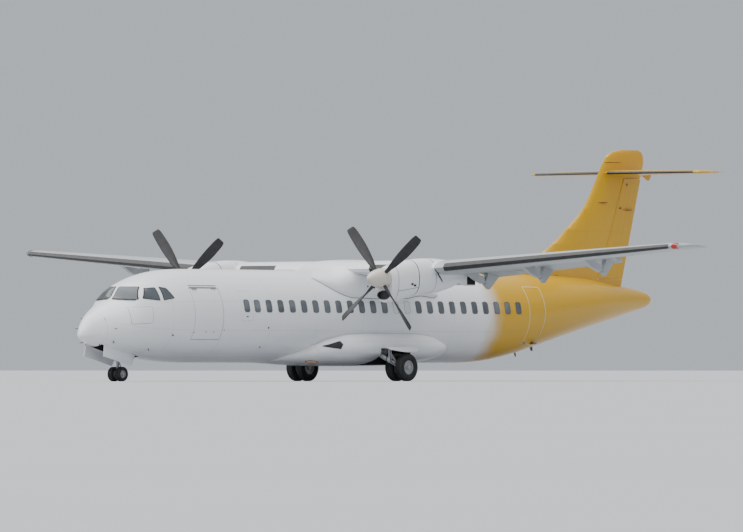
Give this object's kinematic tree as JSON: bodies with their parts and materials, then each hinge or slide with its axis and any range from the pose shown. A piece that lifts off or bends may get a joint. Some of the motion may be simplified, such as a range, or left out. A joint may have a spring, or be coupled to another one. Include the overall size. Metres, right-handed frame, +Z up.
{
  "type": "turboprop airliner",
  "caption": "High-wing regional airliner with a propeller engine under each wing, a T tail and retractable landing gear shown down.",
  "frame": {"origin": "on the ground, below the centre of the aircraft's box, with the tyres standing on z = 0", "axes": "+X forward to the nose, +Y to port, +Z up"},
  "size_m": [27.165, 27.05, 7.46],
  "materials": {
    "white_paint": "gloss",
    "yellow_paint": "gloss",
    "yellow_composite": "gloss",
    "white_composite": "gloss",
    "grey_wing_paint": "satin",
    "spinner_paint": "gloss",
    "black_blade": "satin",
    "cockpit_glass": "gloss",
    "engine_metal": "satin",
    "gear_paint": "satin",
    "wheel_rim": "satin",
    "tyre_rubber": "matte"
  },
  "bodies": {
    "airframe": {"nose_cone": "white_composite", "fuselage_front": "white_paint", "fuselage_middle": "white_paint", "fuselage_rear": "yellow_paint", "tail_cone": "yellow_paint", "cockpit_glazing": "cockpit_glass", "wing_fairing": "white_composite", "belly_fairing": "white_composite", "service_door": "yellow_paint", "exit_port": "white_paint", "exit_starboard": "white_paint", "wing_centre": "grey_wing_paint", "wing_port": "grey_wing_paint", "wing_starboard": "grey_wing_paint", "nacelle_port": "white_paint", "nacelle_starboard": "white_paint", "engine_port": "engine_metal", "engine_starboard": "engine_metal", "fin": "yellow_composite", "fin_cap": "yellow_composite", "tailplane": "yellow_composite", "nose_leg": "gear_paint", "nose_door_port": "white_paint", "nose_door_starboard": "white_paint", "main_leg_port": "gear_paint", "main_leg_starboard": "gear_paint", "main_door_port": "white_paint", "main_door_starboard": "white_paint"},
    "propeller_unit_port": {"propeller_port": "black_blade", "spinner_port": "spinner_paint"},
    "propeller_unit_starboard": {"propeller_starboard": "black_blade", "spinner_starboard": "spinner_paint"},
    "passenger_stairs": {"passenger_door": "yellow_paint"},
    "cargo_hatch": {"cargo_door": "white_paint"},
    "rudder_panel": {"rudder": "yellow_composite"},
    "elevator_panel_port": {"elevator_port": "yellow_composite"},
    "elevator_panel_starboard": {"elevator_starboard": "yellow_composite"},
    "aileron_panel_port": {"aileron_port": "white_composite"},
    "aileron_panel_starboard": {"aileron_starboard": "white_composite"},
    "flap_panel_inner_port": {"flap_inner_port": "white_composite"},
    "flap_panel_inner_starboard": {"flap_inner_starboard": "white_composite"},
    "flap_panel_outer_port": {"flap_outer_port": "white_composite"},
    "flap_panel_outer_starboard": {"flap_outer_starboard": "white_composite"},
    "nose_steering": {"nose_fork": "gear_paint"},
    "nose_wheels": {"nose_rims": "wheel_rim", "nose_tyre_port": "tyre_rubber", "nose_tyre_starboard": "tyre_rubber"},
    "main_wheels_port": {"main_port_rims": "wheel_rim", "main_port_tyre_port": "tyre_rubber", "main_port_tyre_starboard": "tyre_rubber"},
    "main_wheels_starboard": {"main_starboard_rims": "wheel_rim", "main_starboard_tyre_port": "tyre_rubber", "main_starboard_tyre_starboard": "tyre_rubber"}
  },
  "joints": [
    {"name": "propeller_port_spin", "type": "hinge", "parent": "airframe", "child": "propeller_unit_port", "pos_m": [4.4275, 4.05, 3.15], "axis": [1, 0, 0], "continuous": true},
    {"name": "propeller_starboard_spin", "type": "hinge", "parent": "airframe", "child": "propeller_unit_starboard", "pos_m": [4.4275, -4.05, 3.15], "axis": [1, 0, 0], "continuous": true},
    {"name": "passenger_door_open", "type": "hinge", "parent": "airframe", "child": "passenger_stairs", "pos_m": [-6.2975, 1.035, 1.2], "axis": [-1, 0, 0], "range_deg": [0, 125]},
    {"name": "cargo_door_open", "type": "hinge", "parent": "airframe", "child": "cargo_hatch", "pos_m": [9.3025, 1.18, 2.82], "axis": [1, 0, 0], "range_deg": [0, 100]},
    {"name": "rudder_turn", "type": "hinge", "parent": "airframe", "child": "rudder_panel", "pos_m": [-10.9025, 0, 3.29], "axis": [-0.3684, 0, 0.9297], "range_deg": [-27, 27]},
    {"name": "elevator_port_tilt", "type": "hinge", "parent": "airframe", "child": "elevator_panel_port", "pos_m": [-12.4525, 0, 6.7], "axis": [-0.0082, 1, 0], "range_deg": [-13, 23]},
    {"name": "elevator_starboard_tilt", "type": "hinge", "parent": "airframe", "child": "elevator_panel_starboard", "pos_m": [-12.4525, 0, 6.7], "axis": [0.0082, 1, 0], "range_deg": [-13, 23]},
    {"name": "aileron_port_tilt", "type": "hinge", "parent": "airframe", "child": "aileron_panel_port", "pos_m": [0.62702, 10.11, 3.85121], "axis": [0, 0.9976, 0.0693], "range_deg": [-14, 14]},
    {"name": "aileron_starboard_tilt", "type": "hinge", "parent": "airframe", "child": "aileron_panel_starboard", "pos_m": [0.62702, -10.11, 3.85121], "axis": [0, 0.9976, -0.0693], "range_deg": [-14, 14]},
    {"name": "flap_inner_port_lower", "type": "hinge", "parent": "airframe", "child": "flap_panel_inner_port", "pos_m": [0.4975, 2.5, 3.04], "axis": [0, -1, 0], "range_deg": [-20, 15]},
    {"name": "flap_inner_starboard_lower", "type": "hinge", "parent": "airframe", "child": "flap_panel_inner_starboard", "pos_m": [0.4975, -2.5, 3.04], "axis": [0, -1, 0], "range_deg": [-20, 15]},
    {"name": "flap_outer_port_lower", "type": "hinge", "parent": "airframe", "child": "flap_panel_outer_port", "pos_m": [0.4975, 4.6, 3.04], "axis": [0, -0.9976, -0.0698], "range_deg": [-20, 15]},
    {"name": "flap_outer_starboard_lower", "type": "hinge", "parent": "airframe", "child": "flap_panel_outer_starboard", "pos_m": [0.4975, -4.6, 3.04], "axis": [0, -0.9976, 0.0698], "range_deg": [-20, 15]},
    {"name": "nose_steer", "type": "hinge", "parent": "airframe", "child": "nose_steering", "pos_m": [11.8775, 0, 0.4], "axis": [0, 0, 1], "range_deg": [-60, 60]},
    {"name": "nose_wheels_spin", "type": "hinge", "parent": "nose_steering", "child": "nose_wheels", "pos_m": [11.8775, 0, 0.22223], "axis": [0, 1, 0], "continuous": true},
    {"name": "main_wheels_port_spin", "type": "hinge", "parent": "airframe", "child": "main_wheels_port", "pos_m": [1.1075, 2.05, 0.42668], "axis": [0, 1, 0], "continuous": true},
    {"name": "main_wheels_starboard_spin", "type": "hinge", "parent": "airframe", "child": "main_wheels_starboard", "pos_m": [1.1075, -2.05, 0.42668], "axis": [0, 1, 0], "continuous": true}
  ],
  "couplings": [
    {"joint": "elevator_starboard_tilt", "follows": "elevator_port_tilt", "ratio": 1},
    {"joint": "aileron_starboard_tilt", "follows": "aileron_port_tilt", "ratio": -1},
    {"joint": "flap_inner_starboard_lower", "follows": "flap_inner_port_lower", "ratio": 1},
    {"joint": "flap_outer_port_lower", "follows": "flap_inner_port_lower", "ratio": 1},
    {"joint": "flap_outer_starboard_lower", "follows": "flap_inner_port_lower", "ratio": 1}
  ]
}
